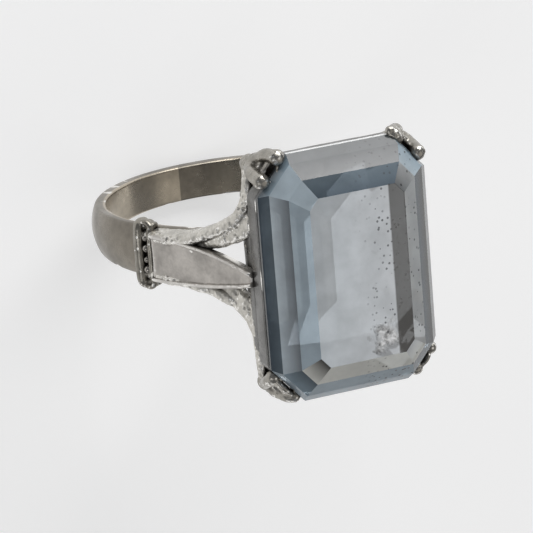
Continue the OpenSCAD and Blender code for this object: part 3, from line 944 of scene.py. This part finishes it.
class RING_OT_stage(bpy.types.Operator):
    """Pale floor, soft lights and the camera"""
    bl_idname = "ring.stage"
    bl_label = "Stage"

    def execute(self, context):
        scene = context.scene
        low = float(cad_box[0][2])
        corners = [(x * FLOOR_HALF, y * FLOOR_HALF, low) for x, y in ((-1, -1), (1, -1), (1, 1), (-1, 1))]
        mesh = bpy.data.meshes.new("floor")
        mesh.from_pydata(corners, [], [(0, 1, 2, 3)])
        mesh.materials.append(floor_material())
        floor = bpy.data.objects.new("floor", mesh)
        scene.collection.objects.link(floor)

        world = bpy.data.worlds.new("soft_room")
        world.use_nodes = True
        world.node_tree.nodes["Background"].inputs["Color"].default_value = ROOM
        world.node_tree.nodes["Background"].inputs["Strength"].default_value = 1.0
        scene.world = world
        for light in SOFTBOXES:
            softbox(*light)

        data = bpy.data.cameras.new("camera")
        data.lens, data.sensor_width = CAMERA_LENS, CAMERA_SENSOR
        data.clip_start, data.clip_end = 0.01, 20
        scene.camera = placed(bpy.data.objects.new("camera", data), CAMERA_AXES, CAMERA_PLACE)
        scene.view_settings.view_transform = "Standard"
        return {"FINISHED"}


class RING_OT_shank(bpy.types.Operator):
    """Band round the finger"""
    bl_idname = "ring.shank"
    bl_label = "Shank"

    def execute(self, context):
        skin = weathered(shank_skin(context.scene.ring_sizes), wave=0.012, wave_pitch=2.3, seed=3)
        piece("shank", skin, paint(context, "band"), ["shank"], crease=55)
        return {"FINISHED"}


class RING_OT_collars(bpy.types.Operator):
    """Rolled collars with their beads"""
    bl_idname = "ring.collars"
    bl_label = "Collars"

    def execute(self, context):
        skin = collar_skin()
        r = context.scene.ring_sizes.bead_r / MM
        a = COLLAR_ANGLE + math.radians(0.4)
        beads = joined([ball(on_collar(COLLAR_BAR_R + 0.03, y, a), r * k) for y, k in COLLAR_BEADS])
        for name, x in (("right", 1), ("left", -1)):
            piece("collar_" + name, mirrored(skin, x), paint(context, "collar"), ["collar_" + name])
            piece("collar_beads_" + name, mirrored(beads, x), paint(context, "bead"),
                  ["collar_beads_" + name])
        return {"FINISHED"}


class RING_OT_plates(bpy.types.Operator):
    """Shoulder plates"""
    bl_idname = "ring.plates"
    bl_label = "Shoulder plates"

    def execute(self, context):
        skin = weathered(plate_skin(context.scene.ring_sizes), wave=0.01, wave_pitch=1.2, seed=11)
        for name, x in (("right", 1), ("left", -1)):
            piece("shoulder_plate_" + name, mirrored(skin, x), paint(context, "plate"),
                  ["shoulder_plate_" + name], crease=50)
        return {"FINISHED"}


class RING_OT_arms(bpy.types.Operator):
    """Cast shoulder arms"""
    bl_idname = "ring.arms"
    bl_label = "Shoulder arms"

    def execute(self, context):
        for end, y, tuck in (("rear", 1, 1.0), ("front", -1, 0.0)):
            skin = arm_skin(tuck)
            for side, x in (("right", 1), ("left", -1)):
                name = f"shoulder_arm_{end}_{side}"
                piece(name, mirrored(skin, x, y), paint(context, "cast"), [name])
        return {"FINISHED"}


class RING_OT_basket(bpy.types.Operator):
    """Rails of the basket and its beads"""
    bl_idname = "ring.basket"
    bl_label = "Basket"

    def execute(self, context):
        metal = paint(context, "rail")
        for seed, (name, (start, wall, low, high, edge)) in enumerate(RAILS.items()):
            skin = weathered(rail_skin(start, wall, low, high, edge), wave=0.02, wave_pitch=1.3,
                             seed=70 + seed)
            piece(name, skin, metal, [name])
        spots = [(x * (HALF_W - 0.4), y, GALLERY_LOW[2] - 0.16) for x in (-1, 1) for y in (-1.8, 1.8)]
        piece("gallery_beads", joined([ball(c, 0.28) for c in spots]), paint(context, "claw"),
              ["gallery_beads"])
        return {"FINISHED"}


class RING_OT_claws(bpy.types.Operator):
    """Forked claws at the corners"""
    bl_idname = "ring.claws"
    bl_label = "Claws"

    def execute(self, context):
        for seed, (name, (x, y, tips)) in enumerate(CLAWS.items()):
            skin = mirrored(to_corner(claw_skin(context.scene.ring_sizes, tips, 90 + 13 * seed)), x, y)
            piece("claw_" + name, skin, paint(context, "claw"), ["claw_" + name])
        return {"FINISHED"}


class RING_OT_stone(bpy.types.Operator):
    """Step-cut stone"""
    bl_idname = "ring.stone"
    bl_label = "Stone"

    def execute(self, context):
        gem = piece("gemstone", stone_skin(), paint(context, "stone"), ["gemstone"], smooth=False)
        facet_colours_and_reflections(gem.data, tuple(context.scene.ring_colours.stone))
        return {"FINISHED"}


class RING_PT_panel(bpy.types.Panel):
    """Sizes, colours and pieces of the ring"""
    bl_idname = "RING_PT_panel"
    bl_label = "Cocktail ring"
    bl_space_type = "VIEW_3D"
    bl_region_type = "UI"
    bl_category = "Ring"

    def draw(self, context):
        layout = self.layout
        for group in (context.scene.ring_sizes, context.scene.ring_colours):
            box = layout.box()
            for key in group.__annotations__:
                box.prop(group, key)
        for op in OPERATORS:
            layout.operator(op.bl_idname)


OPERATORS = (RING_OT_stage, RING_OT_shank, RING_OT_collars, RING_OT_plates, RING_OT_arms,
             RING_OT_basket, RING_OT_claws, RING_OT_stone)
CLASSES = (RingSizes, RingColours, *OPERATORS, RING_PT_panel)


def register():
    for cls in CLASSES:
        bpy.utils.register_class(cls)
    bpy.types.Scene.ring_sizes = bpy.props.PointerProperty(type=RingSizes)
    bpy.types.Scene.ring_colours = bpy.props.PointerProperty(type=RingColours)


def unregister():
    del bpy.types.Scene.ring_colours
    del bpy.types.Scene.ring_sizes
    for cls in reversed(CLASSES):
        bpy.utils.unregister_class(cls)


def main():
    register()
    for op in OPERATORS:
        getattr(bpy.ops.ring, op.bl_idname.split(".")[1])()
    bpy.context.view_layer.update()


if __name__ == "__main__":
    main()
